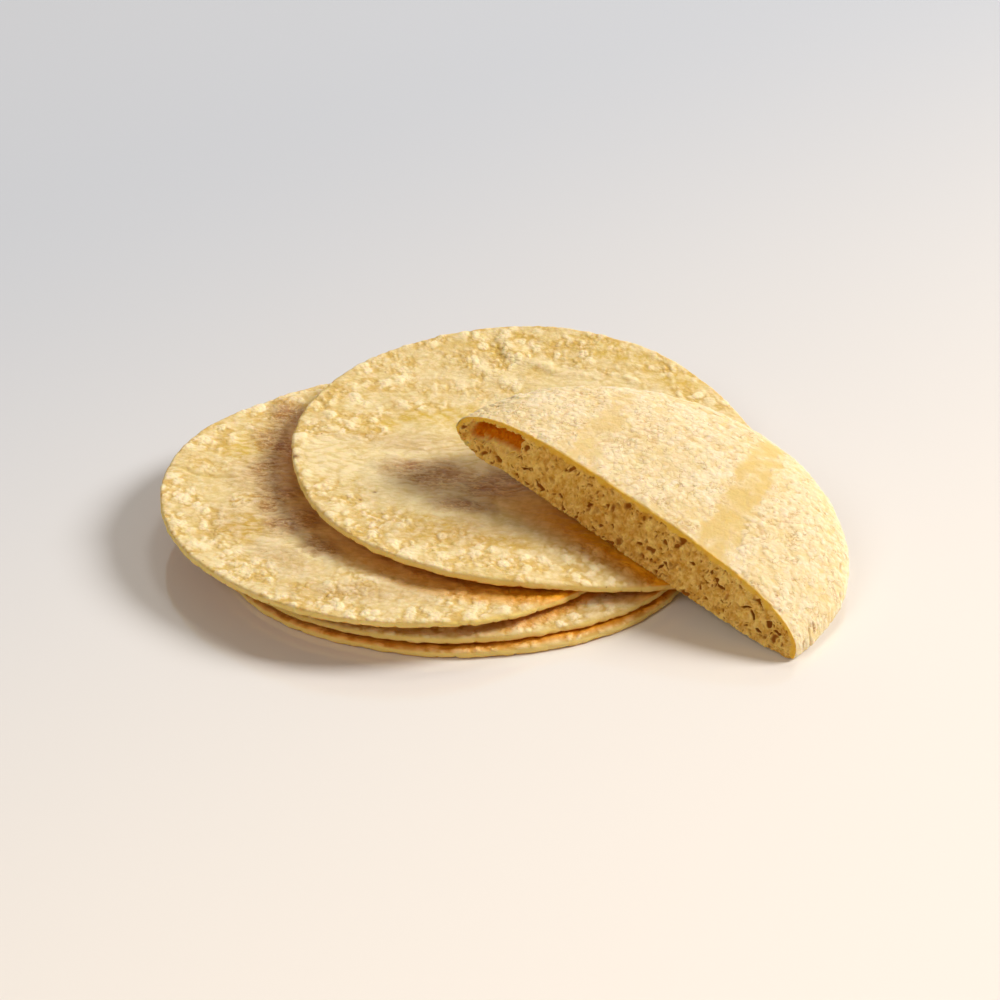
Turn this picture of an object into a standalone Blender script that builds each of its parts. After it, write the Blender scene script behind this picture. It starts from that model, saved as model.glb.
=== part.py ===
"""A stack of four corn tortillas with half of a thick corn flatbread leaning against it.

The origin is the middle of the bottom tortilla's underside, on the table. +X points from the
stack towards the flatbread, -Y towards the side that the flatbread's cut face looks at, and +Z
is up. Sizes are in millimetres, and Blender's are in metres.
"""

import math

import bmesh
import bpy
from mathutils import Matrix, Vector
from mathutils.bvhtree import BVHTree

MM = 0.001
CONTACT_GAP = 0.35  # what is left between pieces that rest on each other
MERGE_DISTANCE = 0.01
DROP_HEIGHT = 100.0  # a piece is lowered from here onto what is already there

# A tortilla is a thin turned disc with a round rim.
TORTILLA_THICKNESS = 2.4
TORTILLA_SECTORS = 60
FACE_RINGS = 7
RIM_RINGS = 4
CURL_POWER = 2.2  # the curl grows as this power of the distance from the middle

# The flatbread is a turned loaf, domed on top and flatter below, then cut in half.
BREAD_RADIUS = 64.0
BREAD_CROWN = 12.6
BREAD_BELLY = 3.0
BREAD_SECTORS = 72
BREAD_RINGS = 9
CROWN_SHAPE = (3.0, 2.3)  # the two powers of the superellipse that the section follows
BELLY_SHAPE = (3.6, 2.2)
BREAD_OUTLINE = ((2, 0.010, 80.0), (3, 0.004, 30.0))

# The knife goes just past the middle and leans back, so the crown is cut shorter than the belly.
CUT_OFFSET = -3.6
CUT_LEAN = 15.6
CUTTER_SIZE = 300.0

# An air pocket opens in the cut face near its raised end.
POCKET_SIZE = (15.0, 12.0, 4.4)
POCKET_PLACE = (-51.0, -3.0, 1.6)
POCKET_SEGMENTS = (20, 12)

# How the half leans: turned round Z, run down along the cut, and rolled about the cut.
BREAD_PLACE = (48.0, -32.0)
BREAD_TURN = -40.5
BREAD_SLOPE = 13.5
BREAD_ROLL = 3.5

# Each tortilla from the table up. A wave is (count round the rim, size, direction of a crest in
# degrees). In an outline its size is a share of the radius, and in a curl it is millimetres.
TORTILLAS = (
    {
        "name": "tortilla_1",
        "centre": (0.0, 0.0),
        "radius": 73.9,
        "outline": ((2, 0.005, -87.0), (4, 0.013, 41.0), (7, 0.003, 10.0), (11, 0.002, 5.0)),
        "curl": 0.0,
        "curl_waves": (),
    },
    {
        "name": "tortilla_2",
        "centre": (-2.4, 6.3),
        "radius": 77.7,
        "outline": ((2, 0.014, -53.0), (3, 0.010, 14.0), (4, 0.013, -42.0), (9, 0.003, 30.0)),
        "curl": 1.2,
        "curl_waves": ((1, 3.1, 142.0), (2, 1.0, -32.0), (3, 0.4, 33.0)),
    },
    {
        "name": "tortilla_3",
        "centre": (-15.2, -0.4),
        "radius": 73.1,
        "outline": ((2, 0.012, 42.0), (3, 0.012, 33.0), (4, 0.008, 0.0), (8, 0.002, 25.0)),
        "curl": 1.8,
        "curl_waves": ((1, 2.8, 172.0), (2, 0.2, 60.0), (3, 1.0, 28.0)),
    },
    {
        "name": "tortilla_4",
        "centre": (23.0, 17.1),
        "radius": 74.5,
        "outline": ((2, 0.010, -21.0), (3, 0.009, -16.0), (4, 0.014, -27.0), (9, 0.002, 12.0)),
        "curl": 0.0,
        "curl_waves": ((1, 8.4, 143.0), (2, 4.0, 78.0), (3, 0.3, 46.0)),
    },
)

TORTILLA_COLOUR = (0.80, 0.58, 0.27, 1.0)
BREAD_COLOUR = (0.86, 0.66, 0.36, 1.0)


def clear_scene():
    for obj in list(bpy.data.objects):
        bpy.data.objects.remove(obj)


def new_collection(name, in_render=True):
    collection = bpy.data.collections.new(name)
    bpy.context.scene.collection.children.link(collection)
    collection.hide_render = not in_render
    return collection


def new_material(name, colour, roughness):
    material = bpy.data.materials.new(name)
    material.use_nodes = True
    shader = material.node_tree.nodes["Principled BSDF"]
    shader.inputs["Base Color"].default_value = colour
    shader.inputs["Roughness"].default_value = roughness
    shader.inputs["Metallic"].default_value = 0.0
    return material


def waves(angle, terms):
    """The sum of cosine waves round a rim, for an angle in radians."""
    return sum(size * math.cos(count * (angle - math.radians(crest))) for count, size, crest in terms)


def turned_mesh(name, profile, sectors):
    """A closed mesh made by turning a profile of (radius, height) about Z with a Screw modifier."""
    mesh = bpy.data.meshes.new(name + "_profile")
    points = [(radius * MM, 0.0, height * MM) for radius, height in profile]
    mesh.from_pydata(points, [(i, i + 1) for i in range(len(points) - 1)], [])
    obj = bpy.data.objects.new(name + "_profile", mesh)
    bpy.context.scene.collection.objects.link(obj)
    screw = obj.modifiers.new("turn", "SCREW")
    screw.steps = screw.render_steps = sectors
    screw.use_merge_vertices = True
    screw.merge_threshold = MERGE_DISTANCE * MM
    graph = bpy.context.evaluated_depsgraph_get()
    turned = bpy.data.meshes.new_from_object(obj.evaluated_get(graph))
    bpy.data.objects.remove(obj)
    work = bmesh.new()
    work.from_mesh(turned)
    bmesh.ops.remove_doubles(work, verts=work.verts, dist=MERGE_DISTANCE * MM)
    bmesh.ops.recalc_face_normals(work, faces=work.faces)
    work.to_mesh(turned)
    work.free()
    turned.name = name
    return turned


def tortilla_profile(radius):
    """Down the outer side of a disc: along its top face, round its rim and back along its base."""
    bend = TORTILLA_THICKNESS / 2
    flat = radius - bend
    top = [(flat * i / FACE_RINGS, bend) for i in range(FACE_RINGS)]
    turns = [math.pi * i / RIM_RINGS for i in range(RIM_RINGS + 1)]
    rim = [(flat + bend * math.sin(turn), bend * math.cos(turn)) for turn in turns]
    return top + rim + [(r, -height) for r, height in reversed(top)]


def curl_tortilla(mesh, tortilla):
    """Gives a flat disc its uneven outline and lifts its rim in slow waves."""
    for vertex in mesh.vertices:
        x, y, z = vertex.co / MM
        angle = math.atan2(y, x)
        share = math.hypot(x, y) / tortilla["radius"]
        stretch = 1 + share * waves(angle, tortilla["outline"])
        lift = tortilla["curl"] + waves(angle, tortilla["curl_waves"])
        z += lift * share**CURL_POWER
        vertex.co = Vector((x * stretch, y * stretch, z)) * MM


def section_height(share, height, shape):
    """The height of the loaf's face above its middle plane at a share of its radius."""
    fall, edge = shape
    return height * (1 - min(share, 1.0) ** fall) ** (1 / edge)


def bread_profile():
    shares = [math.sin(math.pi / 2 * i / BREAD_RINGS) for i in range(BREAD_RINGS + 1)]
    crown = [(BREAD_RADIUS * s, section_height(s, BREAD_CROWN, CROWN_SHAPE)) for s in shares]
    belly = [(BREAD_RADIUS * s, -section_height(s, BREAD_BELLY, BELLY_SHAPE)) for s in shares]
    return crown + belly[-2::-1]


def smooth(mesh, sharp_angle=50.0):
    mesh.shade_smooth()
    mesh.set_sharp_from_angle(angle=math.radians(sharp_angle))


def new_object(name, mesh, collection, material=None):
    obj = bpy.data.objects.new(name, mesh)
    collection.objects.link(obj)
    if material:
        mesh.materials.clear()
        mesh.materials.append(material)
    return obj


def add_cutter(target, cutter):
    cutter.hide_render = True
    cutter.display_type = "WIRE"
    modifier = target.modifiers.new(cutter.name, "BOOLEAN")
    modifier.operation = "DIFFERENCE"
    modifier.object = cutter


def knife_cutter(collection):
    """A large block whose +Y side is the leaning cut, in the loaf's own frame."""
    work = bmesh.new()
    bmesh.ops.create_cube(work, size=CUTTER_SIZE * MM)
    bmesh.ops.translate(work, verts=work.verts, vec=(0, -CUTTER_SIZE / 2 * MM, 0))
    lean = Matrix.Rotation(-math.radians(CUT_LEAN), 3, "X")
    bmesh.ops.rotate(work, verts=work.verts, matrix=lean)
    bmesh.ops.translate(work, verts=work.verts, vec=(0, CUT_OFFSET * MM, 0))
    mesh = bpy.data.meshes.new("knife")
    work.to_mesh(mesh)
    work.free()
    return new_object("knife", mesh, collection)


def pocket_cutter(collection):
    """A flat ellipsoid that opens an air pocket in the cut face."""
    work = bmesh.new()
    around, along = POCKET_SEGMENTS
    bmesh.ops.create_uvsphere(work, u_segments=around, v_segments=along, radius=0.5 * MM)
    bmesh.ops.scale(work, verts=work.verts, vec=POCKET_SIZE)
    bmesh.ops.translate(work, verts=work.verts, vec=Vector(POCKET_PLACE) * MM)
    mesh = bpy.data.meshes.new("pocket")
    work.to_mesh(mesh)
    work.free()
    return new_object("pocket", mesh, collection)


def lowered(mesh, rest_on):
    """How far the mesh goes down, in metres, until it nearly touches the table or a mesh below."""
    start = DROP_HEIGHT * MM
    room = [vertex.co.z + start for vertex in mesh.vertices]
    points = [vertex.co + Vector((0, 0, start)) for vertex in mesh.vertices]
    upper = BVHTree.FromPolygons(points, [face.vertices[:] for face in mesh.polygons])
    for below in rest_on:
        places = [vertex.co for vertex in below.vertices]
        lower = BVHTree.FromPolygons(places, [face.vertices[:] for face in below.polygons])
        down = (lower.ray_cast(point, (0, 0, -1))[3] for point in points)
        up = (upper.ray_cast(place, (0, 0, 1))[3] for place in places)
        room += [gap - CONTACT_GAP * MM for gap in (*down, *up) if gap is not None]
    return start - min(room)


def stack_tortillas(collection, material):
    """Lays each tortilla on those below it, and returns their meshes in world space."""
    laid = []
    for tortilla in TORTILLAS:
        profile = tortilla_profile(tortilla["radius"])
        mesh = turned_mesh(tortilla["name"], profile, TORTILLA_SECTORS)
        curl_tortilla(mesh, tortilla)
        smooth(mesh)
        x, y = tortilla["centre"]
        placed = mesh.copy()
        placed.transform(Matrix.Translation(Vector((x, y, 0)) * MM))
        height = lowered(placed, laid)
        placed.transform(Matrix.Translation((0, 0, height)))
        laid.append(placed)
        obj = new_object(tortilla["name"], mesh, collection, material)
        obj.location = (x * MM, y * MM, height)
    return laid


def lean_bread(collection, cutters, material, laid):
    """Cuts the loaf in half and lowers the half until it leans on the stack and the table."""
    mesh = turned_mesh("flatbread_half", bread_profile(), BREAD_SECTORS)
    for vertex in mesh.vertices:
        angle = math.atan2(vertex.co.y, vertex.co.x)
        share = vertex.co.xy.length / (BREAD_RADIUS * MM)
        stretch = 1 + share * waves(angle, BREAD_OUTLINE)
        vertex.co.x *= stretch
        vertex.co.y *= stretch
    smooth(mesh)
    half = new_object("flatbread_half", mesh, collection, material)
    cutting = [knife_cutter(cutters), pocket_cutter(cutters)]
    for cutter in cutting:
        add_cutter(half, cutter)
    half.rotation_euler = [math.radians(a) for a in (BREAD_ROLL, BREAD_SLOPE, BREAD_TURN)]
    half.location = (BREAD_PLACE[0] * MM, BREAD_PLACE[1] * MM, 0)
    for cutter in cutting:
        cutter.parent = half
    bpy.context.view_layer.update()
    graph = bpy.context.evaluated_depsgraph_get()
    placed = bpy.data.meshes.new_from_object(half.evaluated_get(graph))
    placed.transform(half.matrix_world)
    half.location.z = lowered(placed, laid)


def main():
    clear_scene()
    stack = new_collection("corn_tortilla_stack")
    cutters = new_collection("cutters", in_render=False)
    tortilla_material = new_material("tortilla", TORTILLA_COLOUR, 0.55)
    bread_material = new_material("flatbread", BREAD_COLOUR, 0.7)
    laid = stack_tortillas(stack, tortilla_material)
    lean_bread(stack, cutters, bread_material, laid)


main()
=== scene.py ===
"""The looks of a stack of four corn tortillas with half of a thick corn flatbread leaning on it.

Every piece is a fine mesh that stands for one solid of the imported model, in the same place. Its
blisters, wrinkles, pores and ragged edges are real shape, worked out with seeded noise. Shapes are
worked out in millimetres and become metres when the mesh is made.
"""

import itertools
import math

import bpy
import numpy as np
from mathutils import Euler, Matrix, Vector
from mathutils.bvhtree import BVHTree
from mathutils.kdtree import KDTree


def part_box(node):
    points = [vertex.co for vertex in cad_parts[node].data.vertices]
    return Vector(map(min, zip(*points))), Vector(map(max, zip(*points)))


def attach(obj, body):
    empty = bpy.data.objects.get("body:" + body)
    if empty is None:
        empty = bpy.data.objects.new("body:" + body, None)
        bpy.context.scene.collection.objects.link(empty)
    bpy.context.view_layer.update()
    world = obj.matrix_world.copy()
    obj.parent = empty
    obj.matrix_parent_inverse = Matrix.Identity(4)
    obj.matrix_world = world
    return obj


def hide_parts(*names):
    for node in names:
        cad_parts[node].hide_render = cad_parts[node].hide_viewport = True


MM = 0.001
BAKE_MAP = "OFBake"

# The camera looks along +Y and down at the stack.
CAMERA_TARGET = (11.6, -1.4, 10.0)
CAMERA_DISTANCE = 800.0
CAMERA_ELEVATION = 29.14
CAMERA_LENS = 96.9

# A tortilla: a thin disc with a round-edged rim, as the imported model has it.
THICKNESS = 2.4
CURL_POWER = 2.2
RIM_ROWS = 8
RIM_SQUARENESS = 0.88  # below 1 the rim's side is flatter and its corners tighter
BLISTER_STRETCH = 0.72  # blisters are this much shorter across than away
SHARE_OF_GAP = 0.42  # how much of the gap to a neighbour relief may take
FAR = 10.0  # a neighbour further away than this doesn't matter
DULL_SHADE_FILM = 0.28  # how strongly the dull patches count as wet: painted shade, browner and a little glossier
# How high the top's relief is.
BIG_BLISTER = 0.48
SMALL_BLISTER = 0.30
PILLOW = 0.30
LEATHER = 0.14

# The loaf, domed on top and flatter below, and its leaning cut.
BREAD_RADIUS = 64.0
BREAD_CROWN = 12.6
BREAD_BELLY = 3.0
CROWN_SHAPE = (3.0, 2.3)
BELLY_SHAPE = (3.6, 2.2)
BREAD_OUTLINE = ((2, 0.01, 80), (3, 0.004, 30))
TIP_SWELL = (2.6, -55, -2, 9, 14)  # extra belly by the raised tip: depth, place and reach
CUT_OFFSET = -3.6
CUT_LEAN = 15.6
BREAD_TURNS = (3.5, 13.5, -40.5)
STATIONS = 300
CUT_STATIONS = 3  # columns of the cut face in each station
CROWN_ROWS = 96
BELLY_ROWS = 28
CUT_ROWS = 56

# Each tortilla as the imported model has it, then what its top looks like. A wave is (count round
# the rim, size, direction of a crest in degrees). A patch is (x, y, half length, half width, turn),
# a ridge is (from x, y, to x, y, width, height) and a stain is (x, y, size), all from the
# tortilla's middle. Dough nearer than the shade reach, in mm, to a piece above it gets painted
# shade, darkened towards amber. The wet patches are glossy and browner, the brown partly painted
# shade where pieces above cast shadow; the dull patches are mostly painted shade, a weaker brown
# film. A top mesh is "cells" squares wide.
TORTILLA_1 = {
    "name": "tortilla_1",
    "shade_reach": 4,
    "cells": 180,
    "radius": 73.9,
    "outline": ((2, 0.005, -87), (4, 0.013, 41), (7, 0.003, 10), (11, 0.002, 5)),
    "curl": 0,
    "curl_waves": (),
}
TORTILLA_2 = {
    "name": "tortilla_2",
    "shade_reach": 4.5,
    "cells": 210,
    "radius": 77.7,
    "outline": ((2, 0.014, -53), (3, 0.01, 14), (4, 0.013, -42), (9, 0.003, 30)),
    "curl": 1.2,
    "curl_waves": ((1, 3.1, 142), (2, 1, -32), (3, 0.4, 33)),
}
TORTILLA_3 = {
    "name": "tortilla_3",
    "shade_reach": 9,
    "cells": 250,
    "radius": 73.1,
    "outline": ((2, 0.012, 42), (3, 0.012, 33), (4, 0.008, 0), (8, 0.002, 25)),
    "curl": 1.8,
    "curl_waves": ((1, 2.8, 172), (2, 0.2, 60), (3, 1, 28)),
    "wet": (
        (-40, 47, 9, 6, 100), (-41.5, 31, 12, 6.5, 95), (-41.5, 14, 12, 7, 90),
        (-39, -2, 12, 7.5, 85), (-35, -16, 10, 7, 60), (-26, -30, 10, 4, -45),
    ),
    "dull": (
        (-48, -17, 9, 14, 10), (-36, -38, 14, 7, -40), (-49, 10, 6, 14, 5),
        (-6, -56, 26, 7, 0),
    ),
    "wrinkled": ((-42, 8, 14, 42, 5), (-30, -30, 14, 7, -45)),
    "smooth": ((-56, 2, 8, 9, 20), (-52, 20, 6, 6, 0)),
    "golden": ((-48, -22, 8, 10, 10), (-52, 26, 7, 10, 0)),
    "blistered": (
        (-46.5, -46.4, 9, 6, -40), (-60.6, -18, 7, 6, 0), (-20, -60, 14, 5, -10),
        (13, -64, 14, 5, 0), (-44.7, 43.5, 9, 5, 40), (-50, -4.7, 6, 4, 0),
    ),
    "ridges": ((-73, 11.6, -63.7, 8.8, 0.7, -0.55), (-63.7, 8.8, -54, 7.6, 0.8, -0.4)),
}
TORTILLA_4 = {
    "name": "tortilla_4",
    "shade_reach": 13,
    "cells": 250,
    "radius": 74.5,
    "outline": ((2, 0.01, -21), (3, 0.009, -16), (4, 0.014, -27), (9, 0.002, 12)),
    "curl": 0,
    "curl_waves": ((1, 8.4, 143), (2, 4, 78), (3, 0.3, 46)),
    "wet": (
        (-29, -14, 15, 10, -10), (-14, -17, 13, 12, -15), (-40, -8, 9, 5, 0),
        (-22, -31, 9, 5, -10),
    ),
    "golden": (
        (24, 63, 16, 6, -12), (43, 53, 14, 7, -42), (-8, 64, 16, 7, 5),
        (-30, -46, 14, 7, -30), (-10, -52, 12, 5, -10), (-52, 16, 12, 5, 15),
        (-30, 24, 16, 6, 10),
    ),
    "dull": (
        (-20, -47, 26, 8, -8), (-40, 7, 20, 6, -5), (4, -42, 20, 9, -38),
        (12, -54, 16, 6, -20),
    ),
    "wrinkled": ((-24, -12, 30, 24, -15), (-62, -4, 10, 14, 20)),
    "smooth": ((-30, 10, 22, 9, -8), (22, 40, 16, 8, -15)),
    "blistered": (
        (-58, 30, 9, 8, 30), (-47, 40, 12, 9, 30), (-36, 32, 9, 6, 0), (-51, 14, 7, 4, 0),
        (-20, 56, 12, 8, 20), (8, 62, 12, 6, 0), (54, 38, 9, 6, -45), (17, -57, 16, 7, 0),
        (-10, -60, 14, 5, -8),
    ),
    "ridges": (
        (-10.5, 66.5, -6.5, 59.5, 2.6, 0.5), (-6.5, 59.5, 2.4, 53, 2.8, 0.6),
        (-18.8, 51, -5.1, 42.7, 2.6, 0.4), (3, 52, 15, 47.5, 1.6, 0.3),
        (-68.5, 30.5, -62.5, 22.6, 0.7, -0.6),
    ),
    "stains": ((-73.2, -6, 0.9), (-48.4, -25.4, 0.6), (-52.3, -30.2, 0.5)),
}
TORTILLAS = (TORTILLA_1, TORTILLA_2, TORTILLA_3, TORTILLA_4)


# ---- noise


def hashed(cells, seed):
    """A number from 0 to 1 for each row of whole numbers, the same on every run."""
    mixed = np.full(len(cells), (seed * 2654435761 + 97) % 2**32, np.uint32)
    for column in cells.T:
        mixed ^= column.astype(np.int64).astype(np.uint32)
        mixed *= np.uint32(2246822519)
        mixed ^= mixed >> np.uint32(13)
        mixed *= np.uint32(3266489917)
        mixed ^= mixed >> np.uint32(16)
    return mixed / 2.0**32


def noise(points, size, seed):
    """Smooth noise from about -1 to 1 whose lumps are about half of size across."""
    grid = points / size
    cell = np.floor(grid).astype(np.int64)
    local = grid - cell
    fade = local**3 * (local * (local * 6 - 15) + 10)
    total = np.zeros(len(points))
    for corner in itertools.product((0, 1), repeat=points.shape[1]):
        step = np.array(corner)
        spin = hashed(cell + step, seed) * math.tau
        slope = [np.cos(spin), np.sin(spin)]
        if len(corner) == 3:
            rise = hashed(cell + step, seed + 1) * 2 - 1
            level = np.sqrt(1 - rise**2)
            slope = [slope[0] * level, slope[1] * level, rise]
        weight = np.prod(np.where(step, fade, 1 - fade), axis=1)
        total += weight * sum(slope[i] * (local[:, i] - corner[i]) for i in range(len(corner)))
    return total * 1.5


def fractal(points, size, seed, octaves=3, keep=0.5):
    """Noise with finer and weaker noise added to it."""
    total = sum(keep**i * noise(points, size / 2**i, seed + 7 * i) for i in range(octaves))
    return total / sum(keep**i for i in range(octaves))


def ridged(points, size, seed, octaves=2):
    """Noise with sharp crests, from 0 in its hollows to 1 on its crests."""
    total = 0
    for i in range(octaves):
        total = total + 0.5**i * (1 - np.abs(noise(points, size / 2**i, seed + 11 * i)) * 2.2)
    return np.clip(total / sum(0.5**i for i in range(octaves)), 0, 1)


def warped(points, size, amount, seed):
    """The points moved about by noise, so that what is laid over them comes out uneven."""
    moved = [noise(points, size, seed + 3 * i) for i in range(points.shape[1])]
    return points + amount * np.stack(moved, axis=1)


def ramp(value, low, high):
    """From 0 at low to 1 at high, with soft ends."""
    share = np.clip((value - low) / (high - low), 0, 1)
    return share * share * (3 - 2 * share)


def domes(flat, size, seed, share=1.0, spread=(0.35, 0.7), squeeze=0.25, power=0.75, lie=(0, 1)):
    """Bumps from 0 to 1 in a share of the squares of the size, uneven in width and height.

    They lie along the first number of lie, in degrees, scattered over the second, in half turns.
    """
    grid = flat / size
    cell = np.floor(grid).astype(np.int64)
    total = np.zeros(len(flat))
    for corner in itertools.product((-1, 0, 1), repeat=2):
        at = cell + np.array(corner)
        away = grid - at - np.stack([hashed(at, seed), hashed(at, seed + 1)], axis=1)
        turn = math.radians(lie[0]) + (hashed(at, seed + 2) - 0.5) * lie[1] * math.pi
        along = away[:, 0] * np.cos(turn) + away[:, 1] * np.sin(turn)
        across = away[:, 1] * np.cos(turn) - away[:, 0] * np.sin(turn)
        radius = spread[0] + (spread[1] - spread[0]) * hashed(at, seed + 3)
        height = 0.45 + 0.55 * hashed(at, seed + 4)
        reach = ((along * (1 - squeeze)) ** 2 + (across * (1 + squeeze)) ** 2) / radius**2
        bump = height * np.clip(1 - reach, 0, 1) ** power
        total += (bump * (hashed(at, seed + 5) < share)) ** 5
    return total**0.2


def patch(flat, place, edge=1.25, fade=0.6):
    """From 1 in the middle of an ellipse to 0 at the edge, over a share of its size."""
    x, y, length, width, turn = place
    turn = math.radians(turn)
    off = flat - (x, y)
    along = off[:, 0] * math.cos(turn) + off[:, 1] * math.sin(turn)
    across = off[:, 1] * math.cos(turn) - off[:, 0] * math.sin(turn)
    return ramp(edge - np.hypot(along / length, across / width), 0, fade)


def patches(flat, spec, kind, edge=1.25, fade=0.6):
    """The strongest of the tortilla's patches of one kind at each point."""
    if kind not in spec:
        return np.zeros(len(flat))
    return np.max([patch(flat, place, edge, fade) for place in spec[kind]], axis=0)


def off_line(flat, start, end):
    """How far each point is from a straight stretch, its share of the way, and its side."""
    start, run = np.array(start), np.array(end) - np.array(start)
    share = np.clip((flat - start) @ run / (run @ run), 0, 1)
    away = flat - start - share[:, None] * run
    side = np.sign(run[0] * away[:, 1] - run[1] * away[:, 0])
    return np.linalg.norm(away, axis=1), share, side


# ---- meshes


def waves(angle, terms):
    """The sum of waves round a rim: each has a count, a size and the direction of a crest."""
    total = np.zeros_like(angle)
    for count, size, crest in terms:
        total += size * np.cos(count * (angle - math.radians(crest)))
    return total


def placed(name, data):
    """An object in the scene for a mesh, a lamp or a camera."""
    obj = bpy.data.objects.new(name, data)
    bpy.context.scene.collection.objects.link(obj)
    return obj


def new_piece(name, points, faces, values, places, material, node):
    """A mesh piece in metres, with a value at each point for the material, and a bake map."""
    mesh = bpy.data.meshes.new(name)
    mesh.from_pydata((points * MM).tolist(), [], faces)
    mesh.shade_smooth()
    for key, value in values.items():
        attribute = mesh.attributes.new(key, "FLOAT", "POINT")
        attribute.data.foreach_set("value", np.asarray(value, np.float32))
    corners = np.empty(len(mesh.loops), np.int32)
    mesh.loops.foreach_get("vertex_index", corners)
    bake_map = mesh.uv_layers.new(name=BAKE_MAP)
    bake_map.data.foreach_set("uv", places(mesh, corners).astype(np.float32).ravel())
    mesh.materials.append(material)
    piece = placed(name, mesh)
    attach(piece, "root")
    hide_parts(node)
    return piece


def normals_of(points, faces):
    """The outward direction at each point."""
    mesh = bpy.data.meshes.new("measure")
    mesh.from_pydata(points.tolist(), [], faces)
    normals = np.empty(len(points) * 3)
    mesh.vertex_normals.foreach_get("vector", normals)
    bpy.data.meshes.remove(mesh)
    return normals.reshape(-1, 3)


def shift_onto(points, node):
    """The move that puts the points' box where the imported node's box is."""
    low, high = (np.array(corner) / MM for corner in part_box(node))
    shift = (low + high) / 2 - (points.min(axis=0) + points.max(axis=0)) / 2
    shift[2] = low[2] - points[:, 2].min()
    return shift


def tree_of(nodes):
    """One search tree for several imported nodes, in metres."""
    points, faces = [], []
    for node in nodes:
        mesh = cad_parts[node].data
        first = len(points)
        points += [vertex.co.copy() for vertex in mesh.vertices]
        faces += [[first + i for i in face.vertices] for face in mesh.polygons]
    return BVHTree.FromPolygons(points, faces) if faces else None


def searched(points, tree, most, way=0):
    """How far each point is from what the tree holds, in mm, up to the most.

    It looks straight up (1), straight down (-1) or for what is nearest (0).
    """
    gaps = np.full(len(points), float(most))
    if tree is None:
        return gaps
    for i, point in enumerate(points * MM):
        if way:
            gap = tree.ray_cast(Vector(point), Vector((0, 0, way)), most * MM)[3]
        else:
            gap = tree.find_nearest(Vector(point), most * MM)[3]
        if gap is not None:
            gaps[i] = gap / MM
    return gaps


def within_room(relief, points, upward, above, below):
    """Relief held back where it would reach a neighbour above, below or the table."""
    held = relief.copy()
    for chosen, tree, way in ((upward > 0.3, above, 1), (upward < -0.3, below, -1)):
        place = points[chosen]
        gap = searched(place, tree, FAR, way)
        if way < 0:
            gap = np.minimum(gap, np.maximum(place[:, 2], 0))
        held[chosen] = np.minimum(relief[chosen], SHARE_OF_GAP * gap)
    return held


# ---- tortillas


def disc_grid(cells):
    """A square grid bent to the unit disc: its points, its quads and its rim in order."""
    line = np.linspace(-1, 1, cells + 1)
    a, b = (side.ravel() for side in np.meshgrid(line, line, indexing="ij"))
    wide = np.abs(a) >= np.abs(b)
    reach = np.where(wide, a, b)
    safe = np.where(reach == 0, 1, reach)
    turn = np.where(wide, math.pi / 4 * b / safe, math.pi / 2 - math.pi / 4 * a / safe)
    points = np.stack([reach * np.cos(turn), reach * np.sin(turn)], axis=1)
    index = np.arange((cells + 1) ** 2).reshape(cells + 1, cells + 1)
    sides = (index[-1, :-1], index[:0:-1, -1], index[0, :0:-1], index[:-1, 0])
    return points, quads(index), np.concatenate(sides)


def quads(index):
    """The faces between neighbouring rows and columns of a table of point numbers."""
    corners = (index[:-1, :-1], index[1:, :-1], index[1:, 1:], index[:-1, 1:])
    return np.stack([corner.ravel() for corner in corners], axis=1).tolist()


def tortilla_base(spec):
    """The plain shape of a tortilla: flat discs above and below, joined by the rim.

    The disc below has half as many squares across, so each of its rim's edges meets two above.
    """
    radius, half = spec["radius"], THICKNESS / 2
    flat = radius - half
    top, faces, rim = disc_grid(spec["cells"])
    under, under_faces, under_rim = disc_grid(spec["cells"] // 2)
    angle = np.arctan2(top[rim, 1], top[rim, 0])
    rows = [np.column_stack([top * flat, np.full(len(top), half)])]
    above, count = rim, len(top)
    for row in range(1, RIM_ROWS):
        turn = math.pi * row / RIM_ROWS
        reach = flat + half * math.sin(turn) ** RIM_SQUARENESS
        lift = half * math.copysign(abs(math.cos(turn)) ** RIM_SQUARENESS, math.cos(turn))
        ring = (np.cos(angle) * reach, np.sin(angle) * reach, np.full(len(rim), lift))
        rows.append(np.column_stack(ring))
        below = count + np.arange(len(rim))
        loop = np.append(above, above[0]), np.append(below, below[0])
        faces += quads(np.array(loop))
        above, count = below, count + len(rim)
    rows.append(np.column_stack([under * flat, np.full(len(under), -half)]))
    faces += [[count + i for i in reversed(face)] for face in under_faces]
    low = np.append(count + under_rim, count + under_rim[0])
    high = np.append(above, above[0])
    for i in range(len(under_rim)):
        a, b, c = high[2 * i : 2 * i + 3]
        faces += [[low[i], b, a], [low[i], low[i + 1], b], [low[i + 1], c, b]]
    return np.concatenate(rows), faces


def curled(flat, spec):
    """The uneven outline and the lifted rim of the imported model."""
    x, y, z = flat.T
    angle, share = np.arctan2(y, x), np.hypot(x, y) / spec["radius"]
    stretch = 1 + share * waves(angle, spec["outline"])
    lift = (spec["curl"] + waves(angle, spec["curl_waves"])) * share**CURL_POWER
    return np.stack([x * stretch, y * stretch, z + lift], axis=1)


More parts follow.
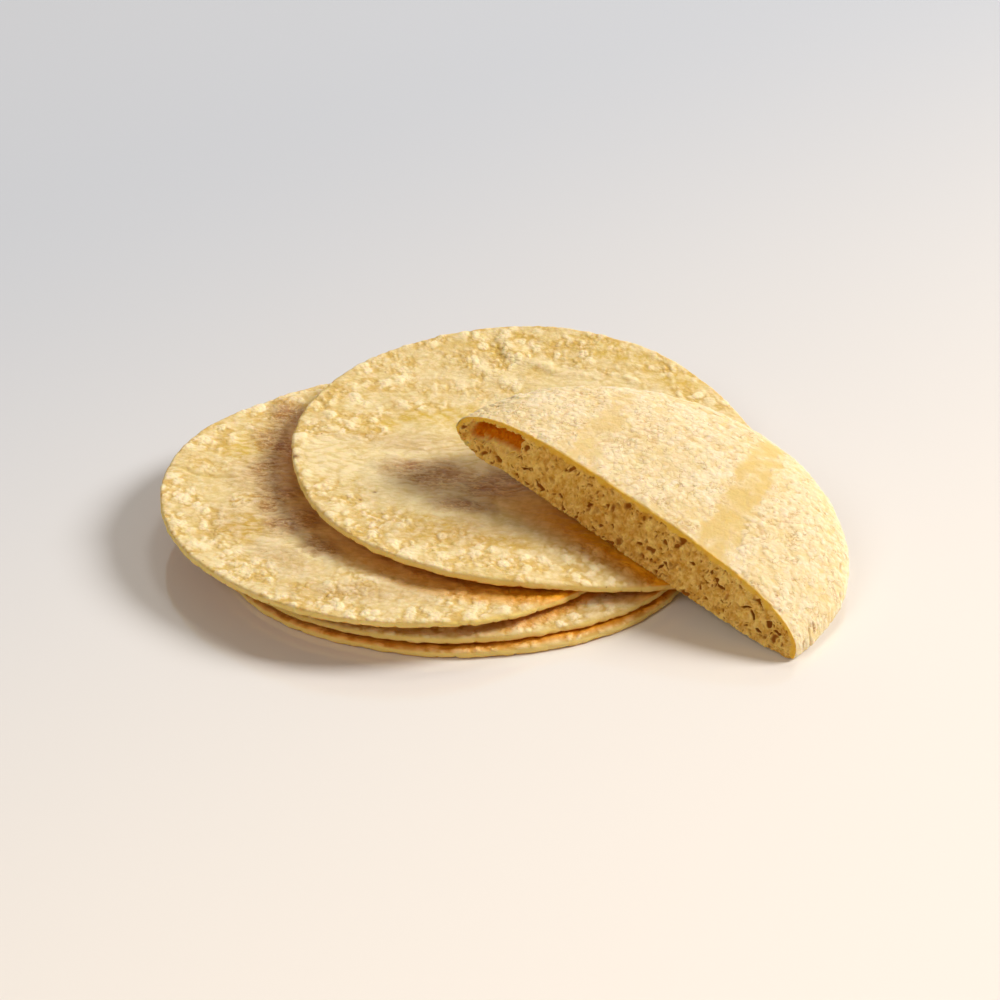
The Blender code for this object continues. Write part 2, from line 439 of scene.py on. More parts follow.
def tortilla_zones(flat, spec, seed):
    """Where the top is blistered, wrinkled, wet and golden, each from 0 to about 1."""
    share = np.linalg.norm(flat, axis=1) / spec["radius"]
    loose = warped(warped(flat, 11, 2.6, seed), 4, 1.2, seed + 4)
    drift = noise(flat, 24, seed + 1) + 0.6 * noise(flat, 9, seed + 2)
    wrinkled = patches(loose, spec, "wrinkled")
    smooth = patches(loose, spec, "smooth")
    crowd = 0.35 + 0.65 * ramp(noise(flat, 7.5, seed + 6), -0.35, 0.15)
    blistered = ramp(share + 0.25 * drift, 0.5, 0.9) * crowd
    blistered *= (1 - 0.8 * wrinkled) * (1 - 0.8 * smooth)
    blistered = np.maximum(blistered, 1.1 * crowd * patches(loose, spec, "blistered"))
    patchy = 0.8 + 0.2 * ramp(noise(loose, 8, seed + 8), -0.4, 0.3)
    wet = patches(loose, spec, "wet", 1.6, 1.4) * patchy
    # The dull patches join the wet ones weakly: painted shade, a brown film with a little gloss.
    wet = np.maximum(wet, DULL_SHADE_FILM * patches(loose, spec, "dull", 1.5, 1.2))
    golden = patches(loose, spec, "golden")
    return blistered, np.maximum(wrinkled, 0.45 * (1 - blistered)), wet, golden


def blisters(flat, seed):
    """Low round blisters of two sizes, in millimetres."""
    loose = warped(warped(flat, 5, 0.8, seed), 1.8, 0.25, seed + 5) * (1, BLISTER_STRETCH)
    big = domes(loose, 3.8, seed + 10, share=0.8, spread=(0.3, 0.66), squeeze=0.1, power=0.7)
    small = domes(loose, 2.1, seed + 20, share=0.9, spread=(0.32, 0.66), squeeze=0.1)
    return np.maximum(BIG_BLISTER * big, SMALL_BLISTER * small)


def with_ridges(flat, ridges, seed):
    """Raised or sunken lines: their height, and how far each point is up one, from -1 to 1."""
    loose = warped(warped(flat, 9, 1.6, seed), 3.6, 0.45, seed + 5)
    lumpy = 0.75 + 0.5 * noise(flat, 3.2, seed + 7)
    height, up = np.zeros(len(flat)), np.zeros(len(flat))
    for x0, y0, x1, y1, width, rise in ridges:
        away, share, side = off_line(loose, (x0, y0), (x1, y1))
        crest = np.exp(-((away / width) ** 2))
        groove = np.exp(-(((away * side + 1.7 * width) / (0.7 * width)) ** 2)) * (rise > 0)
        line = crest * lumpy - 0.3 * groove
        height += rise * line
        up += np.sign(rise) * line
    return height, np.clip(up, -1, 1)


def tortilla_top(flat, spec, seed):
    """The relief of the top in millimetres, and the values its material reads."""
    blistered, wrinkled, wet, golden = tortilla_zones(flat, spec, seed)
    lumps = blisters(flat, seed + 20)
    folds = 1 - ridged(warped(flat, 7, 1.6, seed + 60) * (0.42, 1), 2.8, seed + 61)
    leather = 0.5 - ridged(warped(flat, 4, 1.4, seed + 65) * (0.8, 1), 2.4, seed + 66)
    slow = 0.4 * fractal(flat, 19, seed + 70, 2) + 0.2 * fractal(flat, 8, seed + 75, 2)
    lines, up = with_ridges(flat, spec.get("ridges", ()), seed + 90)
    pillows = domes(warped(flat, 6, 1.5, seed + 15), 7, seed + 16, 0.55, (0.3, 0.6))
    relief = slow + lines + blistered * (lumps - 0.12) + PILLOW * pillows * (0.3 + 0.7 * blistered)
    lively = 0.35 + 0.65 * ramp(noise(flat, 15, seed + 18), -0.35, 0.25)
    relief += LEATHER * leather * (1 - 0.5 * blistered) * lively
    relief += wrinkled * (0.2 + 0.25 * wet) * (folds - 0.5)
    stain = np.zeros(len(flat))
    for x, y, size in spec.get("stains", ()):
        stain = np.maximum(stain, np.exp(-(np.linalg.norm(flat - (x, y), axis=1) / size) ** 2))
    return relief, {
        "bumpy": np.clip(blistered * lumps / 0.44, 0, 1.2) + 0.3 * np.clip(up, 0, 1),
        "blister": np.clip(blistered, 0, 1),
        "fold": wrinkled * (folds - 0.5) + 0.5 * leather - 0.6 * np.clip(-up, 0, 1),
        "wet": wet,
        "golden": golden,
        "stain": stain,
    }


def plain_side(points, seed):
    """The gentler relief of an underside or a rim."""
    notch = ramp(1 - np.abs(noise(points, 7.5, seed + 8)), 0.92, 1)
    slow, fine = fractal(points, 7, seed, 2), fractal(points, 2.8, seed + 5, 2)
    return 0.34 * slow + 0.32 * fine - 0.35 * notch


def tortilla_map(flat, upper_faces, radius):
    """A bake map of two discs: the top with the upper half of the rim, and the rest."""
    full = radius + THICKNESS
    reach = np.hypot(flat[:, 0], flat[:, 1])
    grown = reach + (THICKNESS / 2 - np.abs(flat[:, 2])) * 1.2
    unit = flat[:, :2] / np.maximum(reach, 1e-6)[:, None] * (grown / full)[:, None]

    def places(mesh, corners):
        first_corner_below = mesh.polygons[upper_faces].loop_start
        above = np.arange(len(corners)) < first_corner_below
        return np.where(above[:, None], 0.415 + 0.41 * unit[corners], 0.83 + 0.16 * unit[corners])

    return places


def make_tortilla(spec, number, material, above, below):
    """One tortilla, with relief held clear of the nodes above and below it."""
    seed = 1000 * (number + 1)
    flat, faces = tortilla_base(spec)
    points = curled(flat, spec)
    points = points + shift_onto(points, spec["name"])
    normals = normals_of(points, faces)
    upward = normals[:, 2]
    top = ramp(upward, 0.25, 0.85)
    relief, values = tortilla_top(flat[:, :2], spec, seed)
    side = plain_side(points, seed + 500)
    relief = top * relief + (1 - top) * side
    cover = tree_of(above)
    relief = within_room(relief, points, upward, cover, tree_of(below))
    values = {key: value * top for key, value in values.items()}
    values["rim"] = 1 - ramp(np.abs(upward), 0.35, 0.9)
    # Painted shade: dough near a piece above, and the underside, is marked to be darkened towards
    # amber.
    near = 1 - searched(points, cover, spec["shade_reach"]) / spec["shade_reach"]
    values["painted_shade"] = np.maximum(near, 0.7 * ramp(-upward, 0, 0.7))
    points = points + normals * relief[:, None]
    upper_faces = spec["cells"] ** 2 + (RIM_ROWS // 2) * 4 * spec["cells"]
    places = tortilla_map(flat, upper_faces, spec["radius"])
    name = spec["name"] + "_bread"
    piece = new_piece(name, points, faces, values, places, material, spec["name"])


# ---- half flatbread


def loaf_share(u, w):
    """How far out a point is in the loaf's outline, from 0 in the middle to 1 at the rim."""
    reach = np.hypot(u, w) / BREAD_RADIUS
    return reach / (1 + reach * waves(np.arctan2(w, u), BREAD_OUTLINE))


def loaf_height(u, w, height, shape):
    """How high a face of the loaf is over a point, for its height in the middle."""
    fall, edge = shape
    return height * (1 - np.clip(loaf_share(u, w), 0, 1) ** fall) ** (1 / edge)


def crown_height(u, w):
    return loaf_height(u, w, BREAD_CROWN, CROWN_SHAPE)


def belly_height(u, w):
    depth, at_u, at_w, reach_u, reach_w = TIP_SWELL
    swell = depth * np.exp(-(((u - at_u) / reach_u) ** 2) - ((w - at_w) / reach_w) ** 2)
    return -loaf_height(u, w, BREAD_BELLY + swell, BELLY_SHAPE)


def cut_place(height):
    """Where the leaning cut is, across the loaf, at a height."""
    return CUT_OFFSET + math.tan(math.radians(CUT_LEAN)) * height


def cut_edge(u, surface, far):
    """The height at which the cut meets a face of the loaf, found by halving."""
    near, far = np.zeros_like(u), np.full_like(u, far)
    for _ in range(40):
        middle = (near + far) / 2
        inside = np.abs(middle) < np.abs(surface(u, cut_place(middle)))
        near, far = np.where(inside, middle, near), np.where(inside, far, middle)
    return (near + far) / 2


def tip_angle(side):
    """The direction of the tip of the half, on the left (-1) or the right (+1)."""
    angle = 0.0 if side > 0 else math.pi
    for _ in range(8):
        radius = BREAD_RADIUS * (1 + float(waves(np.array([angle]), BREAD_OUTLINE)[0]))
        lean = math.asin(CUT_OFFSET / radius)
        angle = lean if side > 0 else math.pi - lean
    return angle, radius


def bread_lines():
    """The lines that bound the half: the cut's two edges and the rim."""
    (left, left_radius), (right, right_radius) = tip_angle(-1), tip_angle(1)
    tip_a, tip_b = left_radius * math.cos(left), right_radius * math.cos(right)
    t = np.linspace(0, math.pi, STATIONS * CUT_STATIONS + 1)
    u = (tip_a + tip_b) / 2 + (tip_a - tip_b) / 2 * np.cos(t)
    edges = []
    for surface, far in ((crown_height, BREAD_CROWN), (belly_height, -2 * BREAD_BELLY)):
        h = cut_edge(u, surface, far)
        h[[0, -1]] = 0
        edges.append(np.stack([u, cut_place(h), h], axis=1))
    angle = left + (right - left) * np.linspace(0, 1, STATIONS + 1)
    radius = BREAD_RADIUS * (1 + waves(angle, BREAD_OUTLINE))
    rim = np.stack([radius * np.cos(angle), radius * np.sin(angle), 0 * angle], axis=1)
    return edges[0], edges[1], rim


def face_rows(edge, rim, surface, rows):
    """Points on a face of the loaf, from the cut's edge out to the rim, row by row."""
    shares = np.sin(math.pi / 2 * np.arange(rows + 1) / rows)
    table = edge[None] + shares[:, None, None] * (rim - edge)[None]
    table[1:-1, :, 2] = surface(table[1:-1, :, 0], table[1:-1, :, 1])
    return table


def bread_base():
    """The plain half: its points, faces, and which points lie on the crown, belly and cut."""
    top, bottom, rim = bread_lines()
    share = np.linspace(0, 1, CUT_ROWS + 1)[:, None, None]
    cut = bottom[None] + share * (top - bottom)[None]
    crown = face_rows(top[::CUT_STATIONS], rim, crown_height, CROWN_ROWS)
    belly = face_rows(bottom[::CUT_STATIONS], rim, belly_height, BELLY_ROWS)
    tables = {}
    parts = []
    count = 0
    for name, table in (("cut", cut), ("crown", crown[1:]), ("belly", belly[1:-1])):
        tables[name] = count + np.arange(table.shape[0] * table.shape[1]).reshape(table.shape[:2])
        parts.append(table.reshape(-1, 3))
        count += tables[name].size
    for table in tables.values():
        table[:, 0], table[:, -1] = tables["cut"][0, 0], tables["cut"][0, -1]
    tables["crown"] = np.vstack([tables["cut"][-1, ::CUT_STATIONS], tables["crown"]])
    edge = tables["cut"][0, ::CUT_STATIONS]
    tables["belly"] = np.vstack([edge, tables["belly"], tables["crown"][-1]])
    faces = quads(tables["cut"].T)
    faces += stitched(tables["cut"][-1], tables["crown"][1], False)
    faces += quads(tables["crown"][1:].T)
    faces += stitched(tables["cut"][0], tables["belly"][1], True)
    faces += [face[::-1] for face in quads(tables["belly"][1:].T)]
    return np.concatenate(parts), faces, tables, (top, bottom)


def stitched(fine, coarse, flip):
    """Faces between the cut's fine edge and the coarser row next to it."""
    faces = []
    for i in range(STATIONS):
        a, b, c, d = fine[CUT_STATIONS * i : CUT_STATIONS * i + 4]
        near, far = coarse[i], coarse[i + 1]
        new = [[a, b, near], [b, c, far, near], [c, d, far]]
        faces += [face[::-1] for face in new] if flip else new
    return faces


def tidy_mesh(points, faces):
    """Drops the doubled corners at the tips, and the points that no face uses."""
    kept = []
    for face in faces:
        corners = list(dict.fromkeys(int(i) for i in face))
        if len(corners) > 2:
            kept.append(corners)
    used = np.unique(np.concatenate([np.array(face) for face in kept]))
    number = np.full(len(points), -1)
    number[used] = np.arange(len(used))
    return used, [[int(number[i]) for i in face] for face in kept]


# Where the cut face is open: (along, up, half length, half height, depth, turn), in the face.
CAVITIES = (
    (-12.9, 3.7, 1.3, 0.6, 1.4, 20), (-36.5, 1.6, 1.8, 0.35, 1.3, 10),
    (-30.4, -0.2, 1.9, 0.4, 1.3, -15), (-23.1, 0.8, 1.2, 0.45, 1.1, -30),
    (-7.5, 0.3, 0.9, 0.5, 0.9, 0), (6.6, 2.4, 1, 0.6, 1.1, 10), (16.2, 1.8, 1, 0.5, 0.9, 0),
    (24, 7, 1.4, 0.5, 0.9, -10), (34.2, 6.2, 2.6, 0.55, 1.5, -22), (33, 7.2, 1.2, 0.5, 1.2, 10),
    (44.1, 5, 1.8, 0.5, 1.5, 15), (46.8, 3.8, 1.5, 0.6, 1.5, -40), (50, 1.2, 1.1, 0.6, 1.3, 0),
    (52.6, 4.5, 1.2, 0.6, 1.3, 20), (55.8, 3.7, 1.1, 0.6, 1.3, 0),
    (47.2, 8.3, 1.7, 0.5, 1.1, -20),
)
# Smooth darker bands across the crown: a line of (along, away), a half width and a strength.
BANDS = (
    (((-34, 38), (-27, 15), (-18, -3)), 4.2, 0.6),
    (((8, 56), (18.5, 27), (28, 0)), 5, 1),
)
# Small pits in the crown: (along, away, size, depth).
SIDE_PITS = (
    (51.9, 32.1, 0.8, 0.3), (58.6, 24.4, 0.6, 0.25), (60.9, 6.8, 0.8, 0.4),
    (55.7, 18.6, 0.5, 0.25), (-19.2, 19.9, 0.8, 0.3), (-19.7, 13.1, 1, 0.35),
)
# A damp patch on the crown: (along, away, half length, half width, turn).
WET_SPOT = (32, 3, 6, 3.5, -30)
# Pores of the cut face: (pitch, depth, share of places with one, how slender).
PORES = (
    (4.6, 1.1, 0.3, 0.3), (2.6, 0.8, 0.55, 0.25), (1.7, 0.5, 0.8, 0.15),
    (1.1, 0.35, 0.95, 0.1),
)
PORE_LIE = (18, 0.9)  # which way pores lie, in degrees, and over how many half turns
CRUMB_ROUGHNESS = 0.50
GRAIN_HEIGHT = 0.32
SKIN = 1.4  # how thick the crust is along the cut's upper edge
POCKET = (-60.5, -40.5)  # where the air pocket starts and ends along the cut
POCKET_HEIGHT = 7.8
POCKET_DEPTH = 6.0
RAGGED_EDGE = 0.45  # how far the cut's lower edge is raised in places
TORN_EDGE = 0.35  # how far the cut's upper edge is pushed in and out
# How high the crown's relief is.
LUMP = 0.32
SWELL = 0.40
CREASE_DEPTH = 0.32
BAND_DEPTH = 0.10


def off_edge(face, edge):
    """How far each point of the cut face is from one of its edges."""
    tree = KDTree(len(edge))
    for i, (x, y) in enumerate(edge):
        tree.insert((x, y, 0), i)
    tree.balance()
    return np.array([tree.find((x, y, 0))[2] for x, y in face])


def in_cut(points):
    """Places along and up the cut face."""
    return np.stack([points[:, 0], points[:, 2] / math.cos(math.radians(CUT_LEAN))], axis=1)


def pores(face):
    """How deep the open pores of the crumb are."""
    crowd = ramp(noise(face, 9, 7020), -0.5, 0.35)
    depth = np.zeros(len(face))
    for number, (pitch, deep, share, slender) in enumerate(PORES):
        seed = 7100 + 100 * number
        holes = domes(face, pitch, seed, share, (0.14, 0.34), slender, 1, PORE_LIE)
        depth = np.maximum(depth, deep * holes * (0.45 + 0.55 * crowd))
    for x, y, length, height, deep, turn in CAVITIES:
        depth = np.maximum(depth, deep * patch(face, (x, y, length, height, turn), 1.3, 1.1))
    return depth


def cut_relief(points, top, bottom):
    """How deep and how far up the cut face is moved, and the values its material reads."""
    face = in_cut(points)
    under_top, over_bottom = off_edge(face, in_cut(top)), off_edge(face, in_cut(bottom))
    loose = warped(warped(face, 3, 0.8, 7000), 1.1, 0.35, 7010)
    ragged = 0.8 * noise(face, 3.4, 7030) + 0.5 * noise(face, 1.3, 7035)
    skin = 1 - ramp(under_top + ragged, SKIN * 0.5, SKIN * 1.2)
    hollow = pocket_depth(loose, under_top)
    grains = domes(loose, 1.3, 7045, share=0.9, spread=(0.3, 0.62), squeeze=0.1)
    inner = 0.4 * ramp(1 - np.abs(face[:, 0] - 5) / 50, 0, 0.8)
    coarse = fractal(loose, 2.2, 7040, 3, 0.65)
    open_pores = pores(loose) * (1 - ramp(skin, 0.2, 0.9))
    depth = np.maximum(open_pores, hollow) * ramp(np.minimum(under_top, over_bottom), 0.05, 0.5)
    rough = (1 - 0.7 * skin) * ramp(under_top, 0, 0.8)
    depth += (CRUMB_ROUGHNESS * coarse - GRAIN_HEIGHT * grains) * rough
    rough_edge = noise(face * (1, 0.3), 4.6, 7060) + 0.7 * noise(face * (1, 0.3), 1.5, 7065)
    lift = RAGGED_EDGE * ramp(rough_edge, -0.5, 1)
    lift *= 1 - ramp(over_bottom, 0, 2.5)
    values = {
        "pore_shade": np.clip(open_pores, 0, 1),
        "crumb": coarse + 0.1 + inner - 0.5 * grains,
        "skin": skin,
        "pocket": hollow / POCKET_DEPTH,
    }
    return depth, lift, values


def pocket_depth(face, under_top):
    """The air pocket near the raised tip: a slope that deepens up to a ragged ceiling."""
    low, high = POCKET
    u = face[:, 0]
    lip = SKIN * 0.8 + 1.0 * np.abs(noise(face, 3, 7050)) + 0.5 * noise(face, 1.2, 7052)
    below = under_top - lip
    end = high + 1.6 * noise(face, 2.4, 7055)
    along = ramp(u, low, low + 3.5) * (1 - ramp(u, end - 1.6, end))
    tall = POCKET_HEIGHT * (0.75 + 0.25 * ramp(u, low, high)) + 1.2 * noise(face, 3, 7056)
    rise = ramp(1 - below / tall, 0, 0.65)
    return POCKET_DEPTH * along * rise * ramp(below, -0.05, 0.2)


def bands(flat):
    """Where the smooth bands cross the crown, with uneven edges and floury gaps."""
    loose = warped(warped(flat, 8, 2.6, 8000), 3, 2, 8004)
    band = np.zeros(len(flat))
    for line, width, strength in BANDS:
        away = np.min([off_line(loose, *ends)[0] for ends in itertools.pairwise(line)], axis=0)
        band = np.maximum(band, strength * (1 - ramp(away, width * 0.7, width * 1.2)))
    return band * (0.3 + 0.7 * ramp(fractal(flat, 6, 8006, 2), -0.4, 0.2))


def crown_relief(flat):
    """The relief of the crown, and the values its material reads."""
    band = bands(flat)
    loose = warped(flat, 6, 1.2, 8010)
    slow = 0.42 * fractal(flat, 24, 8015, 2) + 0.26 * fractal(flat, 9, 8020, 2)
    folds = ridged(warped(flat, 4, 1.2, 8030) * (0.75, 1), 2.7, 8040)
    crinkle = ridged(warped(flat, 2.5, 0.7, 8045), 1.7, 8047, 1)
    lumps = domes(warped(flat, 3, 0.9, 8050), 3.6, 8060, share=0.6)
    swells = domes(warped(flat, 5, 1.2, 8065), 7.5, 8070, share=0.45, spread=(0.3, 0.55))
    rough = (1 - 0.75 * band) * (0.5 + 0.5 * ramp(noise(flat, 20, 8100), -0.35, 0.25))
    relief = slow + rough * (0.2 * (folds - 0.5) - 0.12 * (crinkle - 0.5))
    relief += rough * (LUMP * lumps + SWELL * swells)
    lines = 1 - np.abs(noise(warped(flat * (0.75, 1), 4, 1.4, 8130), 4, 8135))
    crease = ramp(lines, 0.92, 0.995) * ramp(noise(flat, 12, 8140), -0.3, 0.2)
    crease *= 1 - 0.85 * band
    relief -= CREASE_DEPTH * crease
    relief -= BAND_DEPTH * band
    pit = np.zeros(len(flat))
    for x, y, size, depth in SIDE_PITS:
        pit = np.maximum(pit, depth * patch(loose, (x, y, size * 1.6, size * 0.45, -50)))
    relief -= pit
    flour = noise(warped(flat, 6, 2, 8120), 13, 8110) + 0.3 * noise(flat, 4, 8115)
    return relief, {
        "bumpy": np.clip(rough * (0.55 * folds + 0.5 * lumps + 0.3 * swells), 0, 1),
        "band": band,
        "pit": pit,
        "crease": crease,
        "wet": patch(loose, WET_SPOT),
        "floury": ramp(flour, -0.2, 0.35),
    }


def bread_map(base, on):
    """A bake map of three parts: the crown on top, the cut face below it, then the belly."""
    share = np.linspace(0, 1, 400)
    fall, edge = CROWN_SHAPE
    rise = BREAD_CROWN * (1 - share**fall) ** (1 / edge)
    steps = np.hypot(np.diff(share) * BREAD_RADIUS, np.diff(rise))
    arc = np.append(0, np.cumsum(steps))
    reach = np.maximum(np.hypot(base[:, 0], base[:, 1]), 1e-6)
    grown = np.interp(loaf_share(base[:, 0], base[:, 1]), share, arc)
    crown = (0.5, 0.49) + 0.0067 * base[:, :2] * (grown / reach)[:, None]
    belly = (0.28, 0.045) + 0.0039 * base[:, :2]
    cut = (0.5, 0.345) + 0.0067 * in_cut(base)
    only_belly = on["belly"] & ~on["crown"] & ~on["cut"]

    def places(mesh, corners):
        totals = np.empty(len(mesh.polygons), np.int32)
        mesh.polygons.foreach_get("loop_total", totals)
        starts = np.append(0, np.cumsum(totals)[:-1])
        is_cut = np.minimum.reduceat(on["cut"][corners], starts)
        is_belly = np.maximum.reduceat(only_belly[corners], starts)
        is_cut, is_belly = (np.repeat(flags, totals)[:, None] for flags in (is_cut, is_belly))
        return np.where(is_cut, cut[corners], np.where(is_belly, belly[corners], crown[corners]))

    return places


def make_bread(material):
    """The half flatbread: worked out lying flat, then turned onto the stack."""
    base, faces, tables, (top, bottom) = bread_base()
    used, faces = tidy_mesh(base, faces)
    on = {name: np.zeros(len(base), bool) for name in tables}
    for name, table in tables.items():
        on[name][table.ravel()] = True
    base, on = base[used], {name: flags[used] for name, flags in on.items()}
    normals = normals_of(base, faces)
    cut = on["cut"]
    depth, lift, cut_values = cut_relief(base[cut], top, bottom)
    lean = math.radians(CUT_LEAN)
    inward = np.array([0, math.cos(lean), -math.sin(lean)])
    upward = np.array([0, math.sin(lean), math.cos(lean)])
    relief, crown_values = crown_relief(base[:, :2])
    belly = on["belly"] & ~on["crown"]
    relief = np.where(belly | (normals[:, 2] < -0.1), plain_side(base, 9000), relief)
    moved = base + normals * (relief * ~cut)[:, None]
    moved[cut] += inward * depth[:, None] + upward * lift[:, None]
    edges = on["cut"] & on["crown"]
    torn = relief[edges] * 0.7 + TORN_EDGE * noise(base[edges], 2.4, 9050)
    moved[edges] += normals[edges] * torn[:, None]
    values = {key: value * ~cut for key, value in crown_values.items()}
    for key, value in cut_values.items():
        values[key] = np.zeros(len(base))
        values[key][cut] = value
    values["cut"] = cut.astype(float)
    turn = np.array(Euler([math.radians(a) for a in BREAD_TURNS]).to_matrix())
    moved = moved @ turn.T + shift_onto(base @ turn.T, "flatbread_half")
    places = bread_map(base, on)
    name = "flatbread_half_bread"
    piece = new_piece(name, moved, faces, values, places, material, "flatbread_half")


# ---- materials


class Nodes:
    """A short way to write a material's nodes. Sizes are in mm."""

    def __init__(self, name):
        self.material = bpy.data.materials.new(name)
        self.material.use_nodes = True
        self.tree = self.material.node_tree
        self.place = self.add("TexCoord", {})["Object"]

    def put(self, socket, value):
        """Links a socket to another node's, or sets it to a constant."""
        if isinstance(value, bpy.types.NodeSocket):
            self.tree.links.new(value, socket)
        else:
            socket.default_value = value

    def add(self, kind, inputs, **settings):
        """Adds a node, puts a value into each input that is named, and gives its outputs."""
        node = self.tree.nodes.new("ShaderNode" + kind)
        for key, value in settings.items():
            setattr(node, key, value)
        for key, value in inputs.items():
            self.put(node.inputs[key], value)
        return node.outputs

    def shade(self, inputs):
        """Puts a value into each input of the shader that is named, and gives the material."""
        for key, value in inputs.items():
            self.put(self.tree.nodes["Principled BSDF"].inputs[key], value)
        return self.material

    def value(self, name):
        """What the mesh holds under a name."""
        return self.add("Attribute", {}, attribute_name=name)["Fac"]

    def math(self, operation, a, b=0.0):
        return self.add("Math", {0: a, 1: b}, operation=operation)[0]

    def times(self, a, b):
        return self.math("MULTIPLY", a, b)

    def plus(self, a, b):
        return self.math("ADD", a, b)

    def minus(self, a, b):
        return self.math("SUBTRACT", a, b)

    def ranged(self, value, low, high, new_low=0.0, new_high=1.0, **settings):
        """The value moved from one range to another, and kept inside it."""
        inputs = dict(enumerate((value, low, high, new_low, new_high)))
        return self.add("MapRange", inputs, **settings)["Result"]

    def noise(self, size_mm, detail=3.0, roughness=0.55, scale=(1, 1, 1)):
        inputs = {0: self.place, 1: scale}
        place = self.add("VectorMath", inputs, operation="MULTIPLY")[0]
        inputs = {"Scale": 1 / (size_mm * MM), "Detail": detail, "Roughness": roughness}
        return self.add("TexNoise", {"Vector": place, **inputs})["Fac"]

    def drifted(self, noise_mm, amount_mm):
        """The place moved about by noise."""
        inputs = {"Vector": self.place, "Scale": 1 / (noise_mm * MM)}
        drift = self.add("TexNoise", inputs)["Color"]
        inputs = {0: drift, 1: (amount_mm * MM,) * 3, 2: self.place}
        return self.add("VectorMath", inputs, operation="MULTIPLY_ADD")[0]

    def squeezed(self, place, turn, squeeze):
        """The place turned, in degrees, and squeezed, so that round marks on it become slits."""
        turned = {"Rotation": (0, 0, math.radians(turn)), "Scale": (1, squeeze, 1)}
        return self.add("Mapping", {"Vector": place, **turned})[0]

    def cells(self, place, size_mm):
        """Uneven cells: how far a place is from its cell's middle, and each cell's own colour."""
        outputs = self.add("TexVoronoi", {"Vector": place, "Scale": 1 / (size_mm * MM)})
        return outputs["Distance"], outputs["Color"]

    def marks(self, place, size_mm, radius, rare):
        """Small marks, each in a cell whose own number is past a range."""
        away, tint = self.cells(place, size_mm)
        number = self.add("SeparateColor", {0: tint})[0]
        chosen = self.ranged(number, *rare, 0, MARK_STRENGTH)
        return self.times(self.ranged(away, radius, radius * 0.4), chosen)

    def lumps(self, size_mm):
        """Rounded lumps, from 0 between them to 1 on top."""
        away = self.cells(self.drifted(1.5 * size_mm, 0.8 * size_mm), size_mm)[0]
        return self.ranged(self.times(away, away), 0, 0.36, 1, 0)

    def cracks(self, size_mm, thin, scale=(1, 1, 1)):
        """Thin wandering lines, from 0 to 1, where a noise crosses its middle."""
        off = self.minus(self.noise(size_mm, 2, 0.5, scale), 0.5)
        return self.ranged(self.math("ABSOLUTE", off), thin, thin * 0.3)

    def mix(self, share, a, b, blend="MIX"):
        inputs = {"Factor": share, "A": a, "B": b}
        return self.add("Mix", inputs, data_type="RGBA", blend_type=blend)["Result"]

    def layered(self, base, *layers):
        """The base with colours over it, each up to a share as a value goes from low to high."""
        for value, low, high, most, tint in layers:
            base = self.mix(self.ranged(value, low, high, 0, most), base, tint)
        return base

    def bump(self, height, distance_mm, strength, under=None):
        inputs = {"Height": height, "Distance": distance_mm * MM, "Strength": strength}
        if under is not None:
            inputs["Normal"] = under
        return self.add("Bump", inputs)["Normal"]


def colour(red, green, blue):
    """A colour given as it shows on a screen, 0 to 255, as the linear one that shaders use."""
    parts = (c / 255 for c in (red, green, blue))
    return (*(p / 12.92 if p <= 0.04045 else ((p + 0.055) / 1.055) ** 2.4 for p in parts), 1)


CREAM = colour(244, 228, 187)
STRAW = colour(227, 208, 160)
GOLD = colour(209, 181, 108)
TOASTED_SHADED_HOLLOW = colour(206, 170, 90)
YOLK = colour(206, 170, 44)
SHADE_TINT = (1.0, 0.53, 0.04, 1.0)  # painted shade: what dough under a piece above, and undersides, are multiplied by
BROWN = colour(156, 98, 34)
RUST = colour(124, 70, 24)
PAINTED_GLINT = colour(238, 208, 150)
RIM_YELLOW = colour(242, 214, 122)
FLOUR = colour(241, 227, 196)
CRUST = colour(228, 206, 158)
BAND = colour(220, 190, 118)
CRACK = colour(188, 138, 78)
CRUMB = colour(206, 152, 60)
CRUMB_PALE = colour(246, 212, 126)
CRUMB_DEEP = colour(196, 138, 46)
PORE_SHADE = colour(146, 82, 14)
SKIN_YELLOW = colour(238, 194, 72)
POCKET_SHADE_ORANGE = colour(216, 132, 12)
DOUGH_GLOW = (1.0, 0.66, 0.26)  # how far light spreads under the surface, by colour


MARK_STRENGTH = 0.7
TORTILLA_SPECULAR = 0.06
TORTILLA_COAT_ROUGHNESS = 0.16
BREAD_SPECULAR = 0.08
BREAD_COAT_ROUGHNESS = 0.2


def dough_depth(weight, scale_mm):
    """How light goes into dough and spreads there."""
    return {
        "Subsurface Weight": weight,
        "Subsurface Radius": DOUGH_GLOW,
        "Subsurface Scale": scale_mm * MM,
    }


